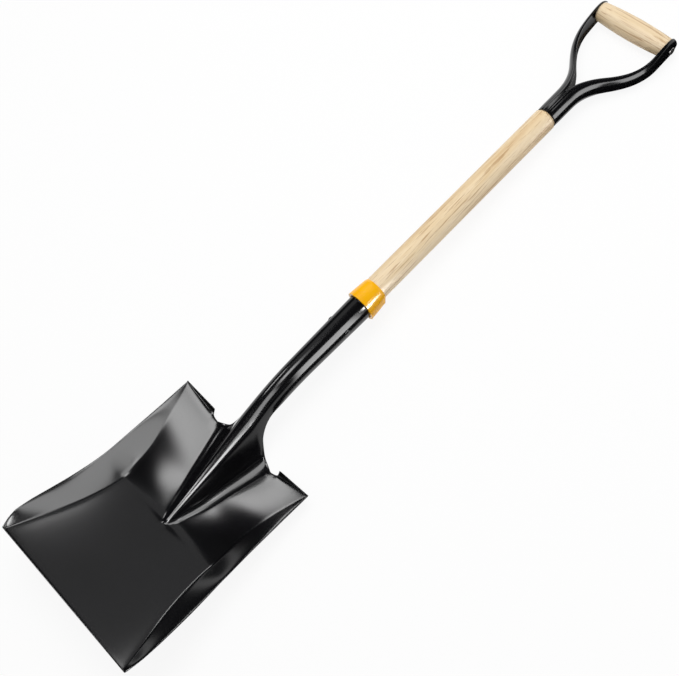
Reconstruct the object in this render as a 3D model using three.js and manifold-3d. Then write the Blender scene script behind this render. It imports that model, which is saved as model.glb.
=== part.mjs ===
// Square mouth shovel: a blade and open-back socket pressed from one steel sheet, an ash shaft,
// a plastic collar over their joint, and a D-grip of a steel yoke with a turned wooden bar.
import * as THREE from "three";
import { mergeVertices } from "three/addons/utils/BufferGeometryUtils.js";
import Module from "manifold-3d";

const wasm = await Module();
wasm.setup();

// Blade, in millimetres, measured on its flat plate from the mouth to the back
const sheet = 1.6;
const bladeLength = 282;
const bladeWidth = 258;
const backRise = 64.5;
const treadHeight = 9;
const notchStart = 46;

// Frog, the raised rib that becomes the neck
const frogTip = 151;
const frogRise = 228;
const frogNose = 4;
const noseRadius = 2.6;
const neckRadius = 13;
const footRadius = 9;
const noseFootRadius = 4;
const footMargin = 8;
const shortestStretch = 2.4;

// Neck and socket
const bendReach = 34;
const socketLength = 146;
const socketNeckRadius = 13.9;
const socketMouthRadius = 15.9;
const socketLeg = 8.5;
const neckLength = 100;
const balancePoint = -120;
const notchDip = 2.6;

// Shaft, with the socket's mouth just above the collar's lower rim
const clearance = 0.3;
const mouthAboveCollar = 5;
const shaftRadius = 16.1;
const shaftTopRadius = 15.8;
const shaftFoot = 108;
const footTaper = 40;
const footEndRadius = 9;
const shoulderBevel = 1.6;

// Collar
const collarLength = 29.7;
const collarBevel = 3.6;
const collarRadius = 19.8;
const collarTopRadius = 17.6;

// Yoke, measured from the collar's lower rim
const yokeStart = 351.5;
const yokeLength = 191.5;
const yokeSheet = 1.5;
const ferruleRadius = 15.6;
const armSpan = 60;
const armBead = 0.9;
const cupRadius = 15;
const tenonLength = 40;

// Grip bar and its rod
const gripInset = 13.5;
const gripHalfLength = 57.5;
const gripRadius = 16;
const gripEndRadius = 13.6;
const gripRounding = 6;
const rodRadius = 3;
const rivetRadius = 3;
const rivetHead = 5.5;
const rivetHeadHeight = 1.6;
const socketRivetBelow = 38;
const socketRivetHead = 4.2;
const socketRivetHeadHeight = 0.6;
const yokeRivetAbove = 24;
const yokeRivetDepth = 22;

// Angles
const lift = THREE.MathUtils.degToRad(22.5);
const frogSlope = THREE.MathUtils.degToRad(37);
const flankTurn = THREE.MathUtils.degToRad(66);
const curlTurn = THREE.MathUtils.degToRad(80);
const treadTurn = THREE.MathUtils.degToRad(14);

// Blade stations from mouth to back, as shares of the length, half width and back's rise:
// length, crease width, crease rise, edge width, edge rise, rise beside the frog
const bladeShares = [
  [0, 0.934, 0, 0.961, 0.006, 0],
  [0.085, 0.88, 0, 1, 0.176, 0],
  [0.35, 0.708, 0, 0.955, 0.239, 0],
  [0.53, 0.668, 0.04, 0.918, 0.383, 0],
  [0.68, 0.68, 0.307, 0.908, 0.583, 0.126],
  [0.83, 0.752, 0.646, 0.902, 0.772, 0.386],
  [1, 0.88, 0.984, 0.897, 1, 0.693],
];
const bladeRowShares = [
  0, 0.04, 0.085, 0.17, 0.26, 0.35, 0.44, 0.51, 0.545, 0.56, 0.58, 0.605, 0.64, 0.68, 0.73, 0.78, 0.83,
  0.88, 0.93, 0.97, 1,
];
// Neck stations, as shares of the neck's length, a quarter turn, the frog's flank, the frog's foot,
// the curl's turn and the frog's margin: distance, crown turn, flank, curl length, curl turn, rim
const neckShares = [
  [0, 0.733, 1, 1, -1, 1],
  [0.04, 0.733, 0.93, 0.4, -0.6, 0.2],
  [0.1, 0.74, 0.53, 0.15, -0.2, 0.12],
  [0.2, 0.78, 0.25, 0.11, 0, 0.12],
  [0.34, 0.88, 0.11, 0.16, 0.06, 0.12],
  [0.6, 1, 0.15, 0.5, 0.3, 0.12],
  [1, 1, 0.19, 1, 0.75, 0.12],
  [2.5, 1, 0.19, 1.45, 1, 0.12],
];
const neckRowShares = [0.02, 0.04, 0.07, 0.1, 0.14, 0.19, 0.25, 0.33, 0.43, 0.55, 0.7, 0.85, 1];
const panelShares = [0.13, 0.163, 0.34, 0.55, 0.76, 0.92, 1];
const wallShares = [0.14, 0.5, 1];
const stripPieces = [4, 3, 4, 1];
const stripColumns = stripPieces.reduce((sum, pieces) => sum + pieces, 0);

// Yoke arm stations, as shares of the yoke's length, the arm span and then the ferrule's radius:
// along, reach of the outer face, half width, depth, set back behind the shaft's axis, bead
const armShares = [
  [0, 0.26, 1, 1, 0, 1],
  [0.21, 0.26, 1, 1, 0, 1],
  [0.27, 0.28, 0.98, 0.92, 0.04, 1],
  [0.34, 0.345, 0.94, 0.77, 0.12, 0.9],
  [0.42, 0.48, 0.88, 0.65, 0.24, 0.7],
  [0.5, 0.68, 0.82, 0.58, 0.36, 0.4],
  [0.62, 0.91, 0.79, 0.54, 0.38, 0.2],
  [0.75, 1.02, 0.86, 0.48, 0.28, 0.1],
  [0.86, 1.02, 0.96, 0.4, 0.06, 0],
  [0.93, 1.02, 0.98, 0.38, 0, 0],
  [1, 1, 0.98, 0.36, 0, 0],
];
const yokeRowShares = [
  0, 0.1, 0.21, 0.25, 0.29, 0.33, 0.37, 0.42, 0.47, 0.52, 0.57, 0.62, 0.68, 0.75, 0.81, 0.87, 0.9, 0.93,
  0.96, 0.98, 1,
];
// The half section of an arm from its back to its front, as shares of a half turn, with a bead
const armTurnShares = [
  0, 0.08, 0.16, 0.25, 0.33, 0.42, 0.5, 0.58, 0.67, 0.75, 0.82, 0.87, 0.9, 0.92, 0.94, 0.96, 0.98, 1,
];
const beadAt = 0.94;
const beadWidthShare = 0.04;

// Read a table of shares smoothly, without overshoot, so that flats stay flat.
function readShares(table, at) {
  let i = 0;
  while (i < table.length - 2 && at > table[i + 1][0]) i += 1;
  const gap = (k) => table[k + 1][0] - table[k][0];
  const slope = (k, c) => (table[k + 1][c] - table[k][c]) / gap(k);
  const tangent = (k, c) => {
    if (k === 0) return slope(0, c);
    if (k === table.length - 1) return slope(k - 1, c);
    const before = slope(k - 1, c);
    const after = slope(k, c);
    return before * after <= 0 ? 0 : (2 * before * after) / (before + after);
  };
  const t = THREE.MathUtils.clamp((at - table[i][0]) / gap(i), 0, 1);
  return table[i].map((start, c) => {
    const end = table[i + 1][c];
    const rise = end - start;
    const out = tangent(i, c) * gap(i);
    const arrive = tangent(i + 1, c) * gap(i);
    return start + t * (out + t * (3 * rise - 2 * out - arrive + t * (out + arrive - 2 * rise)));
  });
}

// Walk a section: each stretch has a length and a turn. It returns the way across and down.
function walk(stretches, distance) {
  let heading = 0;
  let across = 0;
  let down = 0;
  let left = distance;
  for (const { length, turn } of stretches) {
    const step = Math.min(left, length);
    const bend = (turn * step) / length;
    const chord = Math.abs(bend) > 1e-9 ? (step * Math.sin(bend / 2)) / (bend / 2) : step;
    across += chord * Math.cos(heading + bend / 2);
    down += chord * Math.sin(heading + bend / 2);
    heading += bend;
    left -= step;
  }
  return { across, down };
}

// The half section's points, from the ridge outward, with a fixed number of pieces for each stretch.
function walkPoints(stretches) {
  const points = [walk(stretches, 0)];
  let done = 0;
  stretches.forEach((stretch, i) => {
    const pieces = stripPieces[i];
    for (let k = 1; k <= pieces; k += 1) {
      points.push(walk(stretches, done + (stretch.length * k) / pieces));
    }
    done += stretch.length;
  });
  return points;
}

// Thicken a sheet given as quads, seen from its front, into one closed solid.
function sheetSolid(quads, thickness) {
  const points = [];
  const known = new Map();
  const indexOf = (point) => {
    const key = point.toArray().map((value) => value.toFixed(4)).join(",");
    if (!known.has(key)) {
      known.set(key, points.length);
      points.push(point);
    }
    return known.get(key);
  };
  const faces = quads.map((quad) => quad.map(indexOf));
  const normals = points.map(() => new THREE.Vector3());
  const edges = new Set();
  for (const face of faces) {
    const [a, b, c, d] = face.map((index) => points[index]);
    const normal = c.clone().sub(a).cross(d.clone().sub(b));
    face.forEach((index, i) => {
      normals[index].add(normal);
      edges.add(index + ">" + face[(i + 1) % 4]);
    });
  }
  const count = points.length;
  const positions = [];
  for (const side of [0.5, -0.5]) {
    points.forEach((point, i) => {
      const offset = normals[i].clone().setLength(side * thickness);
      positions.push(...point.clone().add(offset).toArray());
    });
  }
  const triangles = [];
  for (const face of faces) {
    const [a, b, c, d] = face;
    const first = points[a].distanceTo(points[c]) <= points[b].distanceTo(points[d]);
    const halves = first ? [[a, b, c], [a, c, d]] : [[a, b, d], [b, c, d]];
    for (const [p, q, r] of halves) {
      triangles.push(p, q, r, count + p, count + r, count + q);
    }
    face.forEach((from, i) => {
      const to = face[(i + 1) % 4];
      if (!edges.has(to + ">" + from)) {
        triangles.push(to, from, count + from, to, count + from, count + to);
      }
    });
  }
  const geometry = new THREE.BufferGeometry();
  geometry.setAttribute("position", new THREE.Float32BufferAttribute(positions, 3));
  geometry.setIndex(triangles);
  return solidOf(geometry);
}

// Quads between rows of points, from column to column.
function rowQuads(rows, firstColumn, lastColumn) {
  const quads = [];
  for (let r = 0; r + 1 < rows.length; r += 1) {
    for (let c = firstColumn; c < lastColumn; c += 1) {
      quads.push([rows[r][c], rows[r][c + 1], rows[r + 1][c + 1], rows[r + 1][c]]);
    }
  }
  return quads;
}

// Both halves of a sheet from its right half.
function mirrored(quads) {
  const flip = (point) => new THREE.Vector3(-point.x, point.y, point.z);
  return quads.concat(quads.map((quad) => quad.map(flip).reverse()));
}

// A closed solid for joining and cutting, from any closed geometry.
function solidOf(geometry) {
  const bare = geometry.clone();
  bare.deleteAttribute("normal");
  bare.deleteAttribute("uv");
  const merged = mergeVertices(bare);
  const vertProperties = merged.getAttribute("position").array;
  const triVerts = new Uint32Array(merged.index.array);
  return new wasm.Manifold(new wasm.Mesh({ numProp: 3, vertProperties, triVerts }));
}

function meshOf(name, solid, material) {
  const { vertProperties, triVerts } = solid.getMesh();
  const geometry = new THREE.BufferGeometry();
  geometry.setAttribute("position", new THREE.Float32BufferAttribute(vertProperties, 3));
  geometry.setIndex(Array.from(triVerts));
  const mesh = new THREE.Mesh(geometry, material);
  mesh.name = name;
  return mesh;
}

// A turned solid on the Y axis, from outline points of radius and height.
function turned(outline, sides) {
  const points = outline.map(([radius, height]) => new THREE.Vector2(radius, height));
  return solidOf(new THREE.LatheGeometry(points, sides));
}

// A turned solid laid along X or Z.
function turnedAlong(axis, outline, sides) {
  const turn = axis === "x" ? [0, 0, -90] : [90, 0, 0];
  return turned(outline, sides).rotate(turn);
}

const enamel = new THREE.MeshStandardMaterial({ color: 0x0c0c0e, roughness: 0.2, metalness: 0.1 });
const ash = new THREE.MeshStandardMaterial({ color: 0xe0c493, roughness: 0.5, metalness: 0 });
const plastic = new THREE.MeshStandardMaterial({ color: 0xf7b000, roughness: 0.3, metalness: 0 });
const steel = new THREE.MeshStandardMaterial({ color: 0x6c6e70, roughness: 0.35, metalness: 0.9 });

// Blade plate
const frogBend = new THREE.Vector2(Math.cos(frogSlope), Math.sin(frogSlope))
  .multiplyScalar(frogRise)
  .add(new THREE.Vector2(frogTip, 0));
const socketUp = new THREE.Vector2(-Math.sin(lift), Math.cos(lift));
const socketAlong = new THREE.Vector2(Math.cos(lift), Math.sin(lift));

function bladeStation(share) {
  const [, creaseX, creaseZ, edgeX, edgeZ, footZ] = readShares(bladeShares, share);
  const half = bladeWidth / 2;
  return {
    crease: new THREE.Vector2(creaseX * half, creaseZ * backRise),
    edge: new THREE.Vector2(edgeX * half, edgeZ * backRise),
    foot: footZ * backRise,
  };
}

// The ridge rises straight from the plate, with a small rounded nose at its tip.
function ridgeHeight(y) {
  const past = y - frogTip;
  return (Math.tan(frogSlope) * (past + Math.hypot(past, frogNose) - frogNose)) / 2;
}

// The frog's half section at a station of the blade: crown, flank, foot and margin.
function frogStretches(share) {
  const y = share * bladeLength;
  const { crease, foot } = bladeStation(share);
  const grown = THREE.MathUtils.clamp((y - frogTip) / (bladeLength - frogTip), 0, 1);
  const crown = THREE.MathUtils.lerp(noseRadius, neckRadius, grown);
  const toe = THREE.MathUtils.lerp(noseFootRadius, footRadius, grown);
  const height = Math.max(ridgeHeight(y) - foot, 0);
  const turn = Math.min(flankTurn, Math.acos(Math.max(0, 1 - height / (crown + toe))));
  const straight = (height - (crown + toe) * (1 - Math.cos(turn))) / Math.max(Math.sin(turn), 0.1);
  const tilt = grown > 0 ? Math.atan((crease.y - foot) / (crease.x - notchStart)) * grown : 0;
  return [
    { length: Math.max(crown * turn, shortestStretch), turn },
    { length: Math.max(straight, shortestStretch / 2), turn: 0 },
    { length: Math.max(toe * (turn + tilt), shortestStretch), turn: -turn - tilt },
    { length: THREE.MathUtils.lerp(shortestStretch, footMargin, grown), turn: 0 },
  ];
}

function bladeRow(share) {
  const y = share * bladeLength;
  const { crease, edge, foot } = bladeStation(share);
  const stretches = frogStretches(share);
  const ridge = Math.max(ridgeHeight(y), foot);
  const row = walkPoints(stretches).map(({ across, down }) => new THREE.Vector3(across, y, ridge - down));
  const inner = row[row.length - 1];
  for (const part of panelShares) {
    const x = THREE.MathUtils.lerp(inner.x, crease.x, part);
    row.push(new THREE.Vector3(x, y, THREE.MathUtils.lerp(inner.z, crease.y, part)));
  }
  for (const part of wallShares) {
    const x = THREE.MathUtils.lerp(crease.x, edge.x, part);
    row.push(new THREE.Vector3(x, y, THREE.MathUtils.lerp(crease.y, edge.y, part)));
  }
  if (share === 1) row.forEach((point, column) => (point.y -= notchDip * notchWeight(column)));
  return row;
}

// The notch beside the neck is cut a little into the back edge, between the foot and the tread.
function notchWeight(column) {
  if (column > stripColumns) return column === stripColumns + 1 ? 0.5 : 0;
  return THREE.MathUtils.smoothstep(column, stripColumns - 5, stripColumns);
}

// The ridge's path past the plate: straight, a soft bend, then straight along the socket's front.
function ridgePath() {
  const mouth = frogBend.clone()
    .addScaledVector(socketAlong, socketLength)
    .addScaledVector(socketUp, socketMouthRadius - socketNeckRadius);
  const before = new THREE.Vector2(frogTip, 0).sub(frogBend).setLength(bendReach).add(frogBend);
  const after = mouth.clone().sub(frogBend).setLength(bendReach).add(frogBend);
  const path = new THREE.Path();
  path.moveTo(bladeLength, ridgeHeight(bladeLength));
  path.lineTo(before.x, before.y);
  path.quadraticCurveTo(frogBend.x, frogBend.y, after.x, after.y);
  path.lineTo(mouth.x, mouth.y);
  return path;
}

// Rows of the neck and socket: the flanks stand up, the foot turns into the curl behind the shaft.
function neckRows() {
  const path = ridgePath();
  const whole = path.getLength();
  const first = frogStretches(1);
  const distances = neckRowShares.map((share) => share * neckLength);
  const straightRows = 3;
  for (let i = 1; i <= straightRows; i += 1) {
    distances.push(neckLength + ((whole - neckLength) * i) / straightRows);
  }
  return distances.map((distance) => {
    const ridge = path.getPointAt(Math.min(distance / whole, 1));
    const [, turnShare, flankShare, curlShare, curlTurnShare, rimShare] = readShares(
      neckShares,
      distance / neckLength,
    );
    const roll = THREE.MathUtils.smoothstep(distance, 0, neckLength);
    const swing = THREE.MathUtils.smoothstep(distance, 0, neckLength / 2);
    const grown = THREE.MathUtils.clamp((distance - neckLength) / (whole - neckLength), 0, 1);
    const radius = THREE.MathUtils.lerp(
      THREE.MathUtils.lerp(neckRadius, socketNeckRadius, roll),
      socketMouthRadius,
      grown,
    );
    const turn = (turnShare * Math.PI) / 2;
    const stretches = [
      { length: (radius - (sheet / 2) * roll) * turn, turn },
      { length: first[1].length * flankShare, turn: 0 },
      { length: first[2].length * curlShare, turn: curlTurn * curlTurnShare },
      { length: first[3].length * rimShare, turn: 0 },
    ];
    const tilt = lift * swing;
    const inset = (sheet / 2) * roll;
    return walkPoints(stretches).map(({ across, down }) => {
      const depth = down + inset;
      return new THREE.Vector3(across, ridge.x + depth * Math.sin(tilt), ridge.y - depth * Math.cos(tilt));
    });
  });
}

// The tread is turned up from the back edge, highest beside the notch and lost in the corner.
function treadRows(backRow, firstColumn) {
  const corner = backRow[backRow.length - 1].x;
  const start = backRow[firstColumn].x;
  return [0.45, 1].map((part) =>
    backRow.map((point, column) => {
      if (column < firstColumn) return point;
      const share = (corner - point.x) / (corner - start);
      const height = treadHeight * part * THREE.MathUtils.lerp(0.15, 1, Math.min(share, 1));
      const lean = height * Math.sin(treadTurn);
      return new THREE.Vector3(point.x, point.y + lean, point.z + height * Math.cos(treadTurn));
    }),
  );
}

function blade() {
  const rows = bladeRowShares.map(bladeRow);
  const backRow = rows[rows.length - 1];
  const treadColumn = stripColumns + 2;
  const quads = [
    ...rowQuads(rows, 0, backRow.length - 1),
    ...rowQuads([backRow, ...neckRows()], 0, stripColumns),
    ...rowQuads([backRow, ...treadRows(backRow, treadColumn)], treadColumn, backRow.length - 1),
  ];
  return sheetSolid(mirrored(quads), sheet);
}

// Shaft
function shaft() {
  const inSocket = socketMouthRadius - sheet - clearance;
  const atNeck = THREE.MathUtils.lerp(inSocket, socketNeckRadius - sheet - clearance, 0.6);
  const tenon = ferruleRadius - yokeSheet - clearance;
  return turned([
    [0, -shaftFoot],
    [footEndRadius, -shaftFoot],
    [atNeck, footTaper - shaftFoot],
    [inSocket, mouthAboveCollar + clearance],
    [shaftRadius, mouthAboveCollar + clearance + shoulderBevel],
    [shaftTopRadius, yokeStart - clearance - shoulderBevel],
    [tenon, yokeStart - clearance],
    [tenon, yokeStart + tenonLength - shoulderBevel],
    [tenon - shoulderBevel, yokeStart + tenonLength],
    [0, yokeStart + tenonLength],
  ], 40);
}

// An oval ring round the shaft: round in front, set back behind the shaft by a leg.
function ovalRing(radius, leg, height, sides) {
  return Array.from({ length: sides }, (_, i) => {
    const angle = (2 * Math.PI * (i + 0.5)) / sides;
    const back = Math.cos(angle) < 0 ? leg : 0;
    return new THREE.Vector3(radius * Math.sin(angle), height, radius * Math.cos(angle) - back);
  });
}

// A closed solid through rings of equal count, with flat ends.
function loft(rings) {
  const sides = rings[0].length;
  const triangles = [];
  for (let r = 0; r + 1 < rings.length; r += 1) {
    for (let i = 0; i < sides; i += 1) {
      const next = (i + 1) % sides;
      const a = r * sides + i;
      const b = r * sides + next;
      triangles.push(a, b, b + sides, a, b + sides, a + sides);
    }
  }
  const last = (rings.length - 1) * sides;
  for (let i = 1; i + 1 < sides; i += 1) {
    triangles.push(0, i + 1, i, last, last + i, last + i + 1);
  }
  const geometry = new THREE.BufferGeometry().setFromPoints(rings.flat());
  geometry.setIndex(triangles);
  return solidOf(geometry);
}

function collar() {
  const sides = 40;
  const skin = clearance * 1.5;
  const outer = loft([
    ovalRing(collarRadius, socketLeg + sheet / 2, 0, sides),
    ovalRing(collarTopRadius, socketLeg, collarLength - collarBevel, sides),
    ovalRing(shaftRadius + skin, 0, collarLength, sides),
  ]);
  const pocket = loft([
    ovalRing(socketMouthRadius + clearance, socketLeg + sheet, -collarBevel, sides),
    ovalRing(socketMouthRadius + clearance, socketLeg + sheet, mouthAboveCollar + 2 * clearance, sides),
  ]);
  const bore = turned([
    [0, -collarLength],
    [shaftRadius + clearance, -collarLength],
    [shaftRadius + clearance, 2 * collarLength],
    [0, 2 * collarLength],
  ], sides);
  return outer.subtract(pocket).subtract(bore);
}

// Yoke
const gripAt = yokeLength - gripInset;

function yokeRow(share) {
  const [, reach, width, depth, back, bead] = readShares(armShares, share);
  const step = 0.01;
  const ahead = readShares(armShares, share + step)[1];
  const behind = readShares(armShares, share - step)[1];
  const slope = new THREE.Vector2((ahead - behind) * armSpan, 2 * step * yokeLength).normalize();
  const pastGrip = Math.max(share * yokeLength - gripAt, 0) / cupRadius;
  const cup = Math.sqrt(Math.max(1 - pastGrip ** 2, 0));
  const half = width * ferruleRadius * cup - yokeSheet / 2;
  const deep = depth * ferruleRadius - yokeSheet / 2;
  const outerX = reach * armSpan - yokeSheet / 2;
  const outerY = yokeStart + share * yokeLength;
  return armTurnShares.map((turnShare) => {
    const angle = Math.PI * (turnShare - 0.5);
    const fromBead = Math.abs(turnShare - beadAt) / beadWidthShare;
    const bump = armBead * bead * (1 - THREE.MathUtils.smoothstep(fromBead, 0, 1));
    const inward = deep * (1 - Math.cos(angle)) - bump * Math.cos(angle);
    const x = outerX - inward * slope.y;
    const y = outerY + inward * slope.x;
    const z = (half + bump) * Math.sin(angle) - back * ferruleRadius;
    return new THREE.Vector3(Math.abs(x) < clearance ? 0 : x, y, z);
  });
}

function yoke() {
  const rows = yokeRowShares.map(yokeRow);
  const quads = rowQuads(rows, 0, rows[0].length - 1);
  return sheetSolid(mirrored(quads), yokeSheet);
}

// Grip bar, a turned barrel with rounded ends, and its rod
function gripBar() {
  const end = gripHalfLength;
  const outline = [[0, -end]];
  const steps = 5;
  const corner = (side, i) => {
    const angle = (Math.PI / 2) * (i / steps);
    const radius = gripEndRadius - gripRounding * (1 - Math.cos(angle));
    return [radius, side * (end - gripRounding * (1 - Math.sin(angle)))];
  };
  for (let i = steps; i >= 0; i -= 1) outline.push(corner(-1, i));
  const barrel = end - gripRounding;
  for (const part of [-0.7, -0.35, 0, 0.35, 0.7]) {
    outline.push([THREE.MathUtils.lerp(gripRadius, gripEndRadius, part ** 2), part * barrel]);
  }
  for (let i = 0; i <= steps; i += 1) outline.push(corner(1, i));
  outline.push([0, end]);
  const bore = pin(rodRadius + clearance, 2 * end).rotate([0, 0, -90]);
  return turnedAlong("x", outline, 36).subtract(bore);
}

// Fastenings
function pin(radius, halfLength) {
  return turned([[0, -halfLength], [radius, -halfLength], [radius, halfLength], [0, halfLength]], 20);
}

// The outline of a low domed head on a shank, from the shank outward.
function headOutline(shank, head, seat, dome) {
  return [
    [shank, seat],
    [head, seat],
    [head * 0.92, seat + dome * 0.5],
    [head * 0.6, seat + dome * 0.88],
    [0, seat + dome],
  ];
}

// A shank along X with a domed head at each end.
function crossRivet(shank, head, seat, dome) {
  const right = headOutline(shank, head, seat, dome);
  const left = right.map(([radius, height]) => [radius, -height]).reverse();
  return turnedAlong("x", [...left, ...right], 20);
}

// The yoke's rivet stands behind the ferrule, its head hollowed to sit round it.
function yokeRivet() {
  const seat = ferruleRadius + clearance;
  const dome = headOutline(0, rivetHead, seat, rivetHeadHeight).slice(1);
  const head = turnedAlong("z", [[0, 0], [rivetHead, 0], ...dome], 20);
  const round = pin(seat, 2 * rivetHead);
  const foot = seat - yokeRivetDepth;
  const outline = [[0, foot], [rivetRadius, foot], [rivetRadius, seat], [0, seat]];
  const shank = turnedAlong("z", outline, 20);
  return head.subtract(round).add(shank).rotate([0, 180, 0]);
}

const gripY = yokeStart + gripAt;
const socketRivetY = -socketRivetBelow;
const yokeRivetY = yokeStart + yokeRivetAbove;
const armReach = armSpan * readShares(armShares, gripAt / yokeLength)[1];
const rivetBelowMouth = mouthAboveCollar + socketRivetBelow;
const socketSide = THREE.MathUtils.lerp(
  socketMouthRadius,
  socketNeckRadius,
  rivetBelowMouth / (socketLength - bendReach),
);

// The socket's axis lies on the shaft's axis.
const socketAxis = frogBend.clone().addScaledVector(socketUp, -socketNeckRadius);
const socketStart = new THREE.Vector3(0, socketAxis.x, socketAxis.y).applyAxisAngle(
  new THREE.Vector3(1, 0, 0),
  -lift,
);
const bladeTurn = [THREE.MathUtils.radToDeg(-lift), 0, 0];
const bladeShift = [0, mouthAboveCollar - socketLength - socketStart.y, -socketStart.z];

const holeAcross = (radius) => pin(radius + clearance, 2 * gripHalfLength).rotate([0, 0, -90]);
const socketHole = holeAcross(rivetRadius).translate([0, socketRivetY, 0]);
const rodHole = holeAcross(rodRadius).translate([0, gripY, 0]);
const yokeHole = pin(rivetRadius + clearance, yokeRivetDepth).rotate([90, 0, 0]);
const backHole = yokeHole.translate([0, yokeRivetY, -ferruleRadius]);
const bladeSolid = blade().rotate(bladeTurn).translate(bladeShift).subtract(socketHole);
const shaftSolid = shaft().subtract(socketHole).subtract(backHole);
const yokeSolid = yoke().subtract(rodHole).subtract(backHole);
const gripSolid = gripBar().translate([0, gripY, 0]);
const socketSeat = socketSide + clearance;
const socketRivet = crossRivet(rivetRadius, socketRivetHead, socketSeat, socketRivetHeadHeight);
const gripRod = crossRivet(rodRadius, rivetHead, armReach + clearance, rivetHeadHeight);

const shovel = new THREE.Group();
shovel.add(meshOf("blade", bladeSolid, enamel));
shovel.add(meshOf("shaft", shaftSolid, ash));
shovel.add(meshOf("collar", collar(), plastic));
shovel.add(meshOf("socket_rivet", socketRivet.translate([0, socketRivetY, 0]), enamel));
shovel.add(meshOf("yoke", yokeSolid, enamel));
shovel.add(meshOf("yoke_rivet", yokeRivet().translate([0, yokeRivetY, 0]), enamel));
shovel.add(meshOf("grip_bar", gripSolid, ash));
shovel.add(meshOf("grip_rod", gripRod.translate([0, gripY, 0]), steel));

// The shovel lies on its back: the blade's heel and the grip end, one on each side of the balance
// point, both touch the floor.
function restAngle() {
  const points = shovel.children.flatMap((mesh) => {
    const position = mesh.geometry.getAttribute("position");
    const pointAt = (_, i) => new THREE.Vector3().fromBufferAttribute(position, i);
    return Array.from({ length: position.count }, pointAt);
  });
  const lowest = (side, angle) => {
    const height = (point) => point.y * Math.sin(angle) + point.z * Math.cos(angle);
    const onSide = points.filter((point) => (point.y - balancePoint) * side > 0);
    return onSide.reduce((low, point) => (height(point) < height(low) ? point : low));
  };
  let angle = 0;
  for (let i = 0; i < 10; i += 1) {
    const heel = lowest(-1, angle);
    const grip = lowest(1, angle);
    angle = -Math.atan2(grip.z - heel.z, grip.y - heel.y);
  }
  return angle;
}

shovel.rotation.x = restAngle();
const box = new THREE.Box3().setFromObject(shovel, true);
const middle = box.getCenter(new THREE.Vector3());
shovel.position.set(-middle.x, -middle.y, -box.min.z);

export default shovel;
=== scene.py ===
"""Square mouth shovel: finer pressed steel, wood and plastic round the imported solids, in a small studio."""

import math

import bpy
import numpy as np
from mathutils import Matrix, Vector


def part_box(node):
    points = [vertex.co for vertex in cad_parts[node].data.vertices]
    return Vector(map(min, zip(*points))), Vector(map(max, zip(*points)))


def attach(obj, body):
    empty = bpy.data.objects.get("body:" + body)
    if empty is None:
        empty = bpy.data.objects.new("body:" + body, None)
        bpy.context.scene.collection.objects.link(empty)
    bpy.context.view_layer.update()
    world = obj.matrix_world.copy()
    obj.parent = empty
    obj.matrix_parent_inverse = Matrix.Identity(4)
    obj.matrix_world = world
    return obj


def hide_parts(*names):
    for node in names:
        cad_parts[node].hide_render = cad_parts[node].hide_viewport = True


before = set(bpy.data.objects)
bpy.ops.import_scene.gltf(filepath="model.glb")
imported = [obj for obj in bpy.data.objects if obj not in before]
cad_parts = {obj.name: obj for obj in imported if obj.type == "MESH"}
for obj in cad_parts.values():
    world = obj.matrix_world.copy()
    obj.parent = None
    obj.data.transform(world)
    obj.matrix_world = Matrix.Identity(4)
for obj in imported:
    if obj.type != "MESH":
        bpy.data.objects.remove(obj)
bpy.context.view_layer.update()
MM = 0.001
WHITE = (1, 1, 1, 1)

# Colours as stops along a noise, from its low to its high values, and bump heights in metres
enamel_colors = ((0.3, (0.003, 0.003, 0.0035)), (0.7, (0.005, 0.005, 0.006)))
enamel_bump = 0.00003
ash_colors = (
    (0.25, (0.66, 0.45, 0.24)),
    (0.45, (0.81, 0.63, 0.39)),
    (0.6, (0.88, 0.72, 0.50)),
    (0.8, (0.73, 0.53, 0.30)),
)
ash_line_colors = ((0.36, (0.60, 0.46, 0.33)), (0.46, (1, 1, 1)), (0.7, (0.92, 0.87, 0.78)))
ash_line_strength = 0.8
ash_pore_color = (0.42, 0.26, 0.12, 1)
ash_pore_strength = 0.5
ash_stretch = 0.018
ash_bump = 0.00006
plastic_colors = ((0.3, (0.93, 0.43, 0.0)), (0.7, (1.0, 0.50, 0.002)))
plastic_bump = 0.00002
steel_colors = ((0.3, (0.38, 0.37, 0.36)), (0.7, (0.56, 0.55, 0.54)))
steel_bump = 0.00005

# Numbers of the Mix node's sockets when it mixes colours, because their names repeat
MIX_FACTOR, MIX_FIRST, MIX_SECOND, MIX_RESULT = 0, 6, 7, 2


# Shader helpers
class Link:
    """A node's output; arithmetic on it adds Math nodes."""

    def __init__(self, look, socket):
        self.look = look
        self.socket = socket

    def math(self, operation, *values):
        inputs = dict(enumerate(values))
        return self.look.node("Math", {"operation": operation}, inputs)

    def __add__(self, other):
        return self.math("ADD", self, other)

    def __sub__(self, other):
        return self.math("SUBTRACT", self, other)

    def __rsub__(self, other):
        return self.math("SUBTRACT", other, self)

    def __mul__(self, other):
        return self.math("MULTIPLY", self, other)

    def __abs__(self):
        return self.math("ABSOLUTE", self)

    __radd__ = __add__

    def or_more(self, other):
        """The greater of the two."""
        return self.math("MAXIMUM", self, other)

    def rise(self, low, high):
        """0 below low, 1 above high, smooth between them."""
        settings = {"interpolation_type": "SMOOTHSTEP"}
        inputs = {"Value": self, "From Min": low, "From Max": high}
        return self.look.node("MapRange", settings, inputs)


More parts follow.
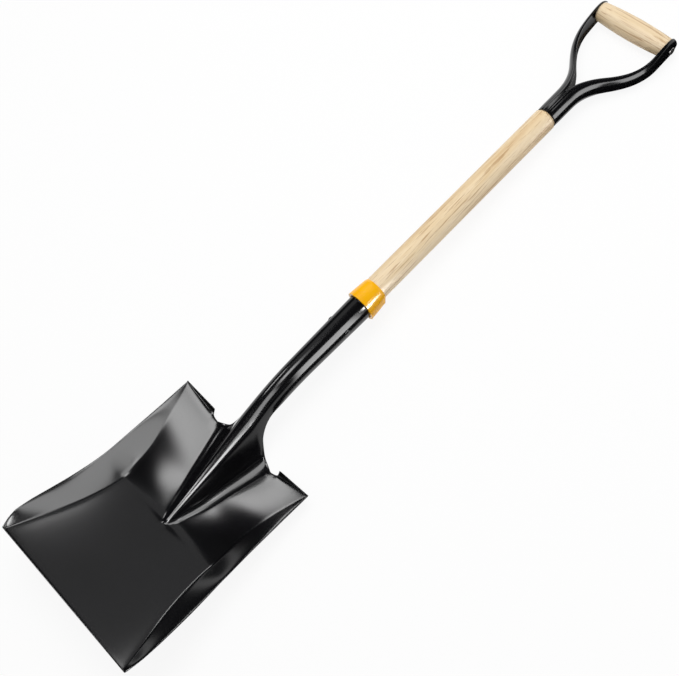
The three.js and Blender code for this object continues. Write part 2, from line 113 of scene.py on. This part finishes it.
class Look:
    """The nodes of a material or a world: node() makes them, and show() feeds its output."""

    def __init__(self, holder, output):
        self.holder = holder
        self.output = output
        holder.use_nodes = True
        self.tree = holder.node_tree
        self.tree.nodes.clear()

    def node(self, kind, settings=None, inputs=None, output=0):
        made = self.tree.nodes.new("ShaderNode" + kind)
        for name, value in (settings or {}).items():
            if name == "stops":
                set_stops(made.color_ramp, value)
            else:
                setattr(made, name, value)
        for name, value in (inputs or {}).items():
            self.put(made.inputs[name], value)
        return Link(self, made.outputs[output])

    def put(self, socket, value):
        if isinstance(value, Link):
            self.tree.links.new(value.socket, socket)
        else:
            socket.default_value = value

    def spot(self):
        """The point's place on its object, in metres."""
        return self.node("TexCoord", output="Object")

    def place(self, scale=(1, 1, 1), turn=(0, 0, 0)):
        """The point's place on its object, turned and stretched for a noise."""
        inputs = {"Vector": self.spot(), "Rotation": turn, "Scale": scale}
        return self.node("Mapping", None, inputs)

    def noise(self, vector, scale, detail=4, roughness=0.55, distortion=0):
        """Noise whose scale is in waves per metre."""
        inputs = {"Vector": vector, "Scale": scale, "Detail": detail}
        inputs.update({"Roughness": roughness, "Distortion": distortion})
        return self.node("TexNoise", None, inputs)

    def ramp(self, factor, stops):
        return self.node("ValToRGB", {"stops": stops}, {"Fac": factor})

    def mix(self, factor, first, second, blend="MIX"):
        settings = {"data_type": "RGBA", "blend_type": blend}
        inputs = {MIX_FACTOR: factor, MIX_FIRST: first, MIX_SECOND: second}
        return self.node("Mix", settings, inputs, output=MIX_RESULT)

    def bump(self, height, distance):
        return self.node("Bump", None, {"Height": height, "Distance": distance, "Strength": 1})

    def either(self, factor, first, second):
        """The first shader where the factor is 0, the second where it is 1."""
        return self.node("MixShader", None, dict(enumerate((factor, first, second))))

    def glow(self, strength):
        return self.node("Emission", None, {"Color": WHITE, "Strength": strength})

    def directly_seen(self):
        """1 for rays from the camera, a reflection or through glass, and 0 for those that light."""
        seen = self.node("LightPath", output="Is Camera Ray")
        for kind in ("Is Glossy Ray", "Is Transmission Ray"):
            seen = seen.or_more(self.node("LightPath", output=kind))
        return seen

    def finish(self, **inputs):
        """Show a Principled shader with these inputs, whose names have _ for a space."""
        named = {name.replace("_", " "): value for name, value in inputs.items()}
        return self.show(self.node("BsdfPrincipled", None, named))

    def show(self, shader):
        out = self.tree.nodes.new(self.output)
        self.put(out.inputs["Surface"], shader)
        return self.holder


def material_look(name):
    return Look(bpy.data.materials.new(name), "ShaderNodeOutputMaterial")


def set_stops(ramp, stops):
    while len(ramp.elements) > 2:
        ramp.elements.remove(ramp.elements[-1])
    while len(ramp.elements) < len(stops):
        ramp.elements.new(0.5)
    for element, (place, color) in zip(ramp.elements, stops):
        element.position = place
        element.color = (*color, 1)


# Finishes
def enamel_finish(name):
    """Gloss black enamel with slow waves, a fine peel and faint scuffs."""
    look = material_look(name)
    broad = look.noise(look.place(), scale=9, detail=3)
    fine = look.noise(look.place(), scale=420, detail=2)
    waves = look.noise(look.place(), scale=40, detail=1)
    slanted = look.place((1, 0.25, 1), (0.3, 0, 0.5))
    scuffed = look.noise(slanted, scale=160, detail=5, roughness=0.7).rise(0.62, 0.74)
    return look.finish(
        Base_Color=look.ramp(broad, enamel_colors),
        Roughness=0.13 + broad * 0.04 + scuffed * 0.05,
        Normal=look.bump(waves * 0.6 + fine * 0.01, enamel_bump),
        Specular_IOR_Level=0.5,
    )


def ash_finish(name, along):
    """Straight-grained ash, with its grain along Y for the shaft or along X for the grip."""
    look = material_look(name)
    stretch = [1.0, 1.0, 1.0]
    stretch[along] = ash_stretch
    fibre = look.place(tuple(stretch))
    broad = look.noise(fibre, scale=60, detail=3, distortion=0.15)
    grain = look.noise(fibre, scale=380, detail=4, roughness=0.6)
    pores = look.noise(fibre, scale=900, detail=2).rise(0.6, 0.72)
    color = look.ramp(broad, ash_colors)
    lines = look.ramp(grain, ash_line_colors)
    color = look.mix(ash_line_strength, color, lines, "MULTIPLY")
    return look.finish(
        Base_Color=look.mix(pores * ash_pore_strength, color, ash_pore_color),
        Roughness=0.38 + grain * 0.12,
        Normal=look.bump(grain * 0.5 - pores * 0.6, ash_bump),
        Specular_IOR_Level=0.45,
        Coat_Weight=0.15,
        Coat_Roughness=0.3,
    )


def plastic_finish(name):
    """Smooth moulded plastic."""
    look = material_look(name)
    broad = look.noise(look.place(), scale=40, detail=3)
    fine = look.noise(look.place(), scale=700, detail=2)
    return look.finish(
        Base_Color=look.ramp(broad, plastic_colors),
        Roughness=0.15 + broad * 0.06,
        Normal=look.bump(fine, plastic_bump),
        Specular_IOR_Level=0.5,
    )


def steel_finish(name):
    """Plain steel, a little uneven."""
    look = material_look(name)
    broad = look.noise(look.place(), scale=120, detail=4)
    return look.finish(
        Base_Color=look.ramp(broad, steel_colors),
        Metallic=1.0,
        Roughness=0.28 + broad * 0.15,
        Normal=look.bump(broad, steel_bump),
    )


enamel = enamel_finish("gloss_black_enamel")
shaft_wood = ash_finish("ash_shaft", 1)
grip_wood = ash_finish("ash_grip", 0)
yellow = plastic_finish("yellow_plastic")
bright_steel = steel_finish("rod_steel")

# The socket rivet's place along the shaft, in millimetres from the collar's lower rim
socket_rivet_at = -38


def middle(node):
    low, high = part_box(node)
    return (low + high) / 2


# The shaft's own frame, in millimetres: Y along its axis to the grip, Z to the blade's open side.
# It is found from two fastenings that lie on the axis.
near = middle("socket_rivet")
far = middle("grip_rod")
shaft_way = (far - near).normalized()
shaft_turn = math.atan2(shaft_way.z, shaft_way.y)
shaft_frame = Matrix.Translation(near) @ Matrix.Rotation(shaft_turn, 4, "X")
shaft_frame = shaft_frame @ Matrix.Translation((0, -socket_rivet_at * MM, 0)) @ Matrix.Scale(MM, 4)

# Blade, in millimetres, with the solids' own sizes
sheet = 1.6
lift = math.radians(22.5)
blade_length = 282
blade_half_width = 129
back_rise = 64.5
tread_height = 9
tread_turn = math.radians(14)
notch_start = 46
notch_dip = 2.6

# Frog, whose foot is a wider hollow here than in the solids
frog_tip = 151
frog_rise = 228
frog_nose = 4
frog_slope = math.radians(37)
nose_radius = 2.6
foot_radius = 20
nose_foot_radius = 8
foot_margin = 1.5
shortest_stretch = 2.4
flank_turn = math.radians(66)
least_sine = 0.1

# Neck and socket
neck_length = 100
neck_radius = 13
neck_flank = 43.2
neck_curl = 12.8
neck_rim = 8
curl_turn = math.radians(80)
bend_reach = 34
socket_length = 146
socket_neck_radius = 13.9
socket_mouth_radius = 15.9
mouth_above_collar = 5

# Stations as shares: length, crease width, crease rise, edge width, edge rise, rise beside the frog
blade_stations = (
    (0, 0.934, 0, 0.961, 0.006, 0),
    (0.085, 0.88, 0, 1, 0.176, 0),
    (0.35, 0.708, 0, 0.955, 0.239, 0),
    (0.53, 0.668, 0.04, 0.918, 0.383, 0),
    (0.68, 0.68, 0.307, 0.908, 0.583, 0.126),
    (0.83, 0.752, 0.646, 0.902, 0.772, 0.386),
    (1, 0.88, 0.984, 0.897, 1, 0.693),
)
# Neck stations as shares: distance, crown turn, flank, curl length, curl turn, rim. The first one
# differs from the solids', to meet the wider foot.
neck_stations = (
    (0, 0.733, 0.83, 2.2, -1, 0.2),
    (0.04, 0.733, 0.93, 0.4, -0.6, 0.2),
    (0.1, 0.74, 0.53, 0.15, -0.2, 0.12),
    (0.2, 0.78, 0.25, 0.11, 0, 0.12),
    (0.34, 0.88, 0.11, 0.16, 0.06, 0.12),
    (0.6, 1, 0.15, 0.5, 0.3, 0.12),
    (1, 1, 0.19, 1, 0.75, 0.12),
    (2.5, 1, 0.19, 1.45, 1, 0.12),
)

# Rows and columns of the sheets, as shares of what they cross
blade_rows_at = (0, 0.04, 0.085, 0.17, 0.26, 0.35, 0.44, 0.5, 0.53, 0.545, 0.56, 0.58, 0.605, 0.64, 0.68)
blade_rows_at += (0.73, 0.78, 0.83, 0.88, 0.92, 0.955, 1)
panel_columns_at = (0.13, 0.163, 0.34, 0.55, 0.76, 0.92, 1)
wall_columns_at = (0.14, 0.5, 1)
tread_rows_at = (0.6, 1)
neck_rows_at = (0.02, 0.04, 0.07, 0.1, 0.14, 0.19, 0.25, 0.33, 0.43, 0.55, 0.7, 0.85, 1)
socket_rows_at = (0.2, 0.4, 0.6, 0.8, 1)
bend_points = 25

# Columns of the frog's crown, flank, foot and margin
strip_pieces = (4, 3, 4, 1)
strip_columns = sum(strip_pieces)
first_tread = strip_columns + 2
notch_columns = 5
weight_beside_notch = 0.5
tread_at_corner = 0.15

# Yoke, in millimetres from the collar's lower rim
yoke_start = 351.5
yoke_length = 191.5
yoke_sheet = 1.5
ferrule_radius = 15.6
arm_span = 60
arm_bead = 0.9
bead_at = 0.94
bead_width = 0.04
cup_radius = 15
grip_from_yoke = 178
meeting_gap = 0.3

# Arm stations as shares: along, reach of the outer face, half width, depth, set back, bead
arm_stations = (
    (0, 0.26, 1, 1, 0, 1),
    (0.21, 0.26, 1, 1, 0, 1),
    (0.27, 0.28, 0.98, 0.92, 0.04, 1),
    (0.34, 0.345, 0.94, 0.77, 0.12, 0.9),
    (0.42, 0.48, 0.88, 0.65, 0.24, 0.7),
    (0.5, 0.68, 0.82, 0.58, 0.36, 0.4),
    (0.62, 0.91, 0.79, 0.54, 0.38, 0.2),
    (0.75, 1.02, 0.86, 0.48, 0.28, 0.1),
    (0.86, 1.02, 0.96, 0.4, 0.06, 0),
    (0.93, 1.02, 0.98, 0.38, 0, 0),
    (1, 1, 0.98, 0.36, 0, 0),
)
yoke_rows_at = (0, 0.1, 0.21, 0.25, 0.29, 0.33, 0.37, 0.42, 0.47, 0.52, 0.57, 0.62, 0.68, 0.75, 0.81)
yoke_rows_at += (0.87, 0.9, 0.93, 0.96, 0.98, 1)
arm_turns = (0, 0.08, 0.16, 0.25, 0.33, 0.42, 0.5, 0.58, 0.67, 0.75, 0.82, 0.87)
arm_turns += (0.9, 0.92, 0.94, 0.96, 0.98, 1)
slope_step = 0.01

# How the sheets are rounded: crease of their rims, and levels of smoothing
blade_rim_crease = 0.5
yoke_rim_crease = 0.6
smoothing_levels = 2

# Points that agree to these decimals are one, and a stretch with less turn than this is straight
weld_digits = 3
straight_below = 1e-9


# Walking a section
def smooth(value, low, high):
    t = min(max((value - low) / (high - low), 0), 1)
    return t * t * (3 - 2 * t)


def between(low, high, share):
    return low + (high - low) * share


def read_station(table, at):
    """The table's row at a place, read smoothly and without overshoot."""
    i = 0
    while i < len(table) - 2 and at > table[i + 1][0]:
        i += 1
    here, there = table[i], table[i + 1]
    gap = there[0] - here[0]
    t = min(max((at - here[0]) / gap, 0), 1)

    def slope(k, column):
        return (table[k + 1][column] - table[k][column]) / (table[k + 1][0] - table[k][0])

    def tangent(k, column):
        if k == 0:
            return slope(0, column)
        if k == len(table) - 1:
            return slope(k - 1, column)
        before, after = slope(k - 1, column), slope(k, column)
        return 0 if before * after <= 0 else 2 * before * after / (before + after)

    row = []
    for column, start in enumerate(here):
        rise = there[column] - start
        leave = tangent(i, column) * gap
        arrive = tangent(i + 1, column) * gap
        bend = 3 * rise - 2 * leave - arrive + t * (leave + arrive - 2 * rise)
        row.append(start + t * (leave + t * bend))
    return row


def walk(stretches, distance):
    """Walk a section whose stretches each have a length and a turn; the way across and down."""
    heading = across = down = 0.0
    left = distance
    for length, turn in stretches:
        step = min(left, length)
        bend = turn * step / length
        chord = step * math.sin(bend / 2) / (bend / 2) if abs(bend) > straight_below else step
        across += chord * math.cos(heading + bend / 2)
        down += chord * math.sin(heading + bend / 2)
        heading += bend
        left -= step
    return across, down


def walk_points(stretches):
    """The section's points, with each stretch cut into its number of pieces."""
    points = [walk(stretches, 0)]
    done = 0
    for (length, _), pieces in zip(stretches, strip_pieces):
        points += [walk(stretches, done + length * (k + 1) / pieces) for k in range(pieces)]
        done += length
    return points


# Blade
def ridge_height(y):
    """Height of the frog's ridge over the plate, which bends at the tip and rises at its slope."""
    past = y - frog_tip
    return math.tan(frog_slope) * (past + math.hypot(past, frog_nose) - frog_nose) / 2


def frog_stretches(share):
    """The frog's half section at a share of the blade: crown, flank, foot and margin."""
    y = share * blade_length
    _, crease_x, crease_z, _, _, foot_z = read_station(blade_stations, share)
    foot = foot_z * back_rise
    grown = min(max((y - frog_tip) / (blade_length - frog_tip), 0), 1)
    crown = between(nose_radius, neck_radius, grown)
    toe = between(nose_foot_radius, foot_radius, grown)
    height = max(ridge_height(y) - foot, 0)
    turn = min(flank_turn, math.acos(max(0, 1 - height / (crown + toe))))
    straight = (height - (crown + toe) * (1 - math.cos(turn))) / max(math.sin(turn), least_sine)
    run = crease_x * blade_half_width - notch_start
    tilt = math.atan((crease_z * back_rise - foot) / run) * grown
    return [
        (max(crown * turn, shortest_stretch), turn),
        (max(straight, shortest_stretch / 2), 0),
        (max(toe * (turn + tilt), shortest_stretch), -turn - tilt),
        (between(shortest_stretch, foot_margin, grown), 0),
    ]


def notch_weight(column):
    """How far a column of the back edge follows the notch's dip."""
    if column > strip_columns:
        return weight_beside_notch if column == strip_columns + 1 else 0
    return smooth(column, strip_columns - notch_columns, strip_columns)


def blade_row(share):
    """The right half of a section: frog, panel and wall."""
    y = share * blade_length
    _, crease_x, crease_z, edge_x, edge_z, foot_z = read_station(blade_stations, share)
    crease = (crease_x * blade_half_width, crease_z * back_rise)
    edge = (edge_x * blade_half_width, edge_z * back_rise)
    ridge = max(ridge_height(y), foot_z * back_rise)
    row = [[across, y, ridge - down] for across, down in walk_points(frog_stretches(share))]
    inner = row[-1]
    for part in panel_columns_at:
        row.append([between(inner[0], crease[0], part), y, between(inner[2], crease[1], part)])
    for part in wall_columns_at:
        row.append([between(crease[0], edge[0], part), y, between(crease[1], edge[1], part)])
    if share == 1:
        for column, point in enumerate(row):
            point[1] -= notch_dip * notch_weight(column)
    return row


frog_bend = np.array((frog_tip + frog_rise * math.cos(frog_slope), frog_rise * math.sin(frog_slope)))
socket_up = np.array((-math.sin(lift), math.cos(lift)))
socket_along = np.array((math.cos(lift), math.sin(lift)))


def ridge_path():
    """Close points along the ridge past the plate, with the distance of each."""
    taper = socket_mouth_radius - socket_neck_radius
    mouth = frog_bend + socket_along * socket_length + socket_up * taper
    start = np.array((blade_length, ridge_height(blade_length)))
    tip_way = np.array((frog_tip, 0)) - frog_bend
    mouth_way = mouth - frog_bend
    before = frog_bend + tip_way / np.linalg.norm(tip_way) * bend_reach
    after = frog_bend + mouth_way / np.linalg.norm(mouth_way) * bend_reach
    points = [start]
    for t in np.linspace(0, 1, bend_points):
        points.append(before * (1 - t) ** 2 + frog_bend * 2 * t * (1 - t) + after * t**2)
    points = np.array(points + [mouth])
    steps = np.linalg.norm(np.diff(points, axis=0), axis=1)
    return points, np.concatenate(([0], np.cumsum(steps)))


def neck_rows():
    """Rows of the neck and socket: the flanks stand up, and the foot turns into the curl."""
    points, along = ridge_path()
    whole = along[-1]
    distances = [share * neck_length for share in neck_rows_at]
    distances += [between(neck_length, whole, share) for share in socket_rows_at]
    rows = []
    for distance in distances:
        ridge = [np.interp(distance, along, points[:, k]) for k in (0, 1)]
        station = read_station(neck_stations, distance / neck_length)
        _, turn_share, flank, curl, curl_share, rim = station
        roll = smooth(distance, 0, neck_length)
        tilt = lift * smooth(distance, 0, neck_length / 2)
        grown = min(max((distance - neck_length) / (whole - neck_length), 0), 1)
        radius = between(between(neck_radius, socket_neck_radius, roll), socket_mouth_radius, grown)
        turn = turn_share * math.pi / 2
        stretches = [
            ((radius - sheet / 2 * roll) * turn, turn),
            (neck_flank * flank, 0),
            (neck_curl * curl, curl_turn * curl_share),
            (neck_rim * rim, 0),
        ]
        row = []
        for across, down in walk_points(stretches):
            depth = down + sheet / 2 * roll
            row.append([across, ridge[0] + depth * math.sin(tilt), ridge[1] - depth * math.cos(tilt)])
        rows.append(row)
    return rows


def tread_rows(back_edge):
    """The tread on the back edge, highest beside the notch and lowest in the corner."""
    start, corner = back_edge[0][0], back_edge[-1][0]
    rows = []
    for part in tread_rows_at:
        row = []
        for x, y, z in back_edge:
            share = min((corner - x) / (corner - start), 1)
            height = tread_height * part * between(tread_at_corner, 1, share)
            row.append([x, y + height * math.sin(tread_turn), z + height * math.cos(tread_turn)])
        rows.append(row)
    return rows


def row_quads(rows):
    """Quads between neighbouring rows, as far as the shorter one goes."""
    quads = []
    for here, there in zip(rows, rows[1:]):
        for left, right, far_left, far_right in zip(here, here[1:], there, there[1:]):
            quads.append((left, right, far_right, far_left))
    return quads


def sheet_piece(name, quads, place, thickness, rim_crease, node):
    """Both halves of a pressed sheet from its right half, thickened and rounded, for a node."""
    both = list(quads)
    for quad in quads:
        both.append([(-x, y, z) for x, y, z in reversed(quad)])
    known = {}
    points = []
    faces = []
    for quad in both:
        face = []
        for point in quad:
            # Adding 0.0 makes one key of 0 and -0 on the middle line
            key = tuple(round(value, weld_digits) + 0.0 for value in point)
            if key not in known:
                known[key] = len(points)
                points.append(place @ Vector(point))
            face.append(known[key])
        faces.append(face)
    mesh = bpy.data.meshes.new(name)
    mesh.from_pydata(points, [], faces)
    mesh.polygons.foreach_set("use_smooth", [True] * len(faces))
    mesh.materials.append(enamel)
    piece = bpy.data.objects.new(name, mesh)
    bpy.context.scene.collection.objects.link(piece)
    thick = piece.modifiers.new("sheet", "SOLIDIFY")
    thick.thickness = thickness * MM
    thick.offset = 0
    thick.edge_crease_rim = rim_crease
    soft = piece.modifiers.new("pressing", "SUBSURF")
    soft.levels = smoothing_levels
    soft.render_levels = smoothing_levels
    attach(piece, "root")
    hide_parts(node)


def build_blade():
    rows = [blade_row(share) for share in blade_rows_at]
    back_row = rows[-1]
    back_edge = back_row[first_tread:]
    quads = row_quads(rows)
    quads += row_quads([back_row] + neck_rows())
    quads += row_quads([back_edge] + tread_rows(back_edge))
    axis = frog_bend - socket_up * socket_neck_radius
    turned = Matrix.Rotation(-lift, 4, "X")
    start = turned @ Vector((0, axis[0], axis[1]))
    shift = Matrix.Translation((0, mouth_above_collar - socket_length - start.y, -start.z))
    sheet_piece("pressed_blade", quads, shaft_frame @ shift @ turned, sheet, blade_rim_crease, "blade")


# Yoke
def yoke_row(share):
    """The right half of the yoke at a share of its length, from its back to its front."""
    _, reach, width, depth, back, bead = read_station(arm_stations, share)
    ahead = read_station(arm_stations, share + slope_step)[1]
    behind = read_station(arm_stations, share - slope_step)[1]
    slope = Vector(((ahead - behind) * arm_span, 2 * slope_step * yoke_length)).normalized()
    past = max(share * yoke_length - grip_from_yoke, 0) / cup_radius
    half = width * ferrule_radius * math.sqrt(max(1 - past**2, 0)) - yoke_sheet / 2
    deep = depth * ferrule_radius - yoke_sheet / 2
    row = []
    for turn_share in arm_turns:
        angle = math.pi * (turn_share - 0.5)
        bump = arm_bead * bead * (1 - smooth(abs(turn_share - bead_at) / bead_width, 0, 1))
        inward = deep * (1 - math.cos(angle)) - bump * math.cos(angle)
        x = reach * arm_span - yoke_sheet / 2 - inward * slope.y
        y = yoke_start + share * yoke_length + inward * slope.x
        z = (half + bump) * math.sin(angle) - back * ferrule_radius
        row.append((0 if abs(x) < meeting_gap else x, y, z))
    return row


def build_yoke():
    quads = row_quads([yoke_row(share) for share in yoke_rows_at])
    sheet_piece("pressed_yoke", quads, shaft_frame, yoke_sheet, yoke_rim_crease, "yoke")


build_blade()
build_yoke()

for node, material in (
    ("socket_rivet", enamel),
    ("yoke_rivet", enamel),
    ("shaft", shaft_wood),
    ("grip_bar", grip_wood),
    ("collar", yellow),
    ("grip_rod", bright_steel),
):
    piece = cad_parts[node]
    piece.data.materials.clear()
    piece.data.materials.append(material)

# Studio, in millimetres
floor_size = (14000, 14000)
cloth_height = 2
floor_whiteness = 0.9
room_light = 0.55
key_at = (-300, 500, 1900)
key_aim = (0, 100, 0)
key_size = 1400
key_energy = 28

# Black flags: name, place in the shaft's frame, what they face, size
flags = (
    ("top_flag", (0, 0, 1700), (0, 0, 0), (6000, 4500)),
    ("left_flag", (-2900, -100, 1050), (0, -100, 1050), (3200, 1400)),
    ("right_flag", (2900, 0, 700), (0, 0, 700), (4000, 1800)),
    ("front_flag", (-600, -3000, 1300), (-600, 0, 1300), (5000, 1400)),
)
# Black cloths on the floor: name, place across and along the shaft's frame, size
cloths = (
    ("socket_cloth", (72, -50), (75, 240)),
    ("yoke_cloth", (220, 460), (390, 260)),
)
# Soft lamps: name, place in the shaft's frame, which way they face, size, glow, widths of the faded edges
lamps = (
    ("front_softbox", (320, -635, 600), "down", (420, 250), 18, (30, 30)),
    ("corner_softbox", (45, -698, 600), "down", (150, 120), 18, (30, 30)),
    ("ridge_softbox", (235, -475, 600), "down", (220, 140), 20, (40, 40)),
    ("crest_softbox", (25, -522, 600), "down", (150, 70), 9, (40, 30)),
    ("fold_softbox", (-355, -690, 600), "down", (380, 120), 16, (30, 30)),
    ("back_softbox", (-700, 330, 1000), "down", (1100, 960), 0.5, (200, 200)),
    ("panel_softbox", (-80, -155, 1000), "down", (520, 380), 9, (130, 130)),
    ("wall_softbox", (88, -295, 300), "down", (250, 200), 5.2, (35, 35)),
    ("left_softbox", (-378, -196, 300), "down", (130, 170), 10, (25, 25)),
    ("socket_softbox", (118, -56, 10), "inward", (145, 145), 8.5, (30, 8)),
    ("collar_softbox", (117, 38, 32), "inward", (50, 55), 34, (10, 10)),
    ("yoke_softbox", (190, 435, 45), "inward", (110, 150), 6.5, (10, 10)),
    ("bead_softbox", (-30, 505, 300), "down", (330, 50), 4, (10, 10)),
)


def grey(level):
    return (level, level, level)


def stage_sheet(name, size, place, material):
    """A flat sheet of the studio, facing along its own Z axis."""
    x, y = (length / 2 * MM for length in size)
    mesh = bpy.data.meshes.new(name)
    mesh.from_pydata([(-x, -y, 0), (x, -y, 0), (x, y, 0), (-x, y, 0)], [], [(0, 1, 2, 3)])
    mesh.materials.append(material)
    card = bpy.data.objects.new(name, mesh)
    bpy.context.scene.collection.objects.link(card)
    card.matrix_world = place
    return card


def facing(at, aim):
    """A place in the shaft's frame, turned so that its Z axis looks at the aim."""
    start = shaft_frame @ Vector(at)
    way = (shaft_frame @ Vector(aim) - start).normalized()
    return Matrix.Translation(start) @ way.to_track_quat("Z", "Y").to_matrix().to_4x4()


def white_floor():
    """Matte white that keeps the object's shadow, and shows as white where it is seen."""
    look = material_look("studio_white")
    tint = look.noise(look.place(), scale=3)
    stops = ((0, grey(0.9)), (1, grey(0.92)))
    matte = look.node("BsdfDiffuse", None, {"Color": look.ramp(tint, stops)})
    seen = look.directly_seen() * floor_whiteness
    return look.show(look.either(seen, matte, look.glow(1.0)))


def black_cloth():
    look = material_look("black_cloth")
    weave = look.noise(look.place(), scale=200)
    stops = ((0, grey(0)), (1, grey(0.004)))
    return look.show(look.node("BsdfDiffuse", None, {"Color": look.ramp(weave, stops)}))


def soft_light(name, glow, size, edges):
    """A glow on the front of a sheet, fading out over its edges."""
    look = material_look(name)
    inside = 1 - look.node("NewGeometry", output="Backfacing")
    for axis, length, edge in zip("XY", size, edges):
        off_middle = abs(look.node("SeparateXYZ", None, {"Vector": look.spot()}, output=axis))
        inside = inside * (length / 2 * MM - off_middle).rise(0, edge * MM)
    return look.show(look.either(inside, look.node("BsdfTransparent"), look.glow(glow)))


def only_in_reflections(card):
    card.visible_camera = False
    card.visible_diffuse = False
    card.visible_transmission = False
    card.visible_shadow = False


def add_flags():
    cloth = black_cloth()
    for name, at, aim, size in flags:
        only_in_reflections(stage_sheet(name, size, facing(at, aim), cloth))
    for name, at, size in cloths:
        spot = shaft_frame @ Vector((*at, 0))
        place = Matrix.Translation((spot.x, spot.y, cloth_height * MM))
        only_in_reflections(stage_sheet(name, size, place, cloth))


def add_lamps():
    for name, at, way, size, glow, edges in lamps:
        x, y, z = at
        aim = (x, y, 0) if way == "down" else (0, y, z)
        card = stage_sheet(name, size, facing(at, aim), soft_light(name, glow, size, edges))
        only_in_reflections(card)


def add_room():
    """A world that lights at a plain level and is white where it is seen."""
    look = Look(bpy.data.worlds.new("studio"), "ShaderNodeOutputWorld")
    room = look.node("Background", None, {"Strength": room_light})
    backdrop = look.node("Background", None, {"Color": WHITE, "Strength": 1})
    bpy.context.scene.world = look.show(look.either(look.directly_seen(), room, backdrop))


def add_key():
    """The one lamp that, with the room, lights the surfaces themselves."""
    lamp = bpy.data.lights.new("key_softbox", "AREA")
    lamp.shape = "RECTANGLE"
    lamp.size = lamp.size_y = key_size * MM
    lamp.energy = key_energy
    key = bpy.data.objects.new("key_softbox", lamp)
    bpy.context.scene.collection.objects.link(key)
    # An area lamp shines along its own -Z, so it is turned over
    key.matrix_world = facing(key_at, key_aim) @ Matrix.Rotation(math.pi, 4, "X")
    key.visible_camera = False
    key.visible_glossy = False


stage_sheet("floor", floor_size, Matrix.Identity(4), white_floor())
add_flags()
add_lamps()
add_room()
add_key()

# Camera, found from the photo in the shaft's own frame, in millimetres
camera_at = Vector((591.37, -269.79, 1187.76))
camera_aim = Vector((12.446, -49.125, 0))
camera_up = Vector((-0.58242, 0.69965, 0.41386))
focal_pixels = 1077.12
frame_pixels = 679
film_width = 36


def add_camera():
    lens = bpy.data.cameras.new("camera")
    lens.sensor_fit = "HORIZONTAL"
    lens.sensor_width = film_width
    lens.lens = film_width * focal_pixels / frame_pixels
    camera = bpy.data.objects.new("camera", lens)
    bpy.context.scene.collection.objects.link(camera)
    back = (camera_at - camera_aim).normalized()
    right = camera_up.cross(back).normalized()
    up = back.cross(right)
    turn = shaft_frame.to_3x3().normalized()
    axes = Matrix((turn @ right, turn @ up, turn @ back)).transposed()
    camera.matrix_world = Matrix.Translation(shaft_frame @ camera_at) @ axes.to_4x4()
    bpy.context.scene.camera = camera


add_camera()
bpy.context.scene.view_settings.view_transform = "Standard"
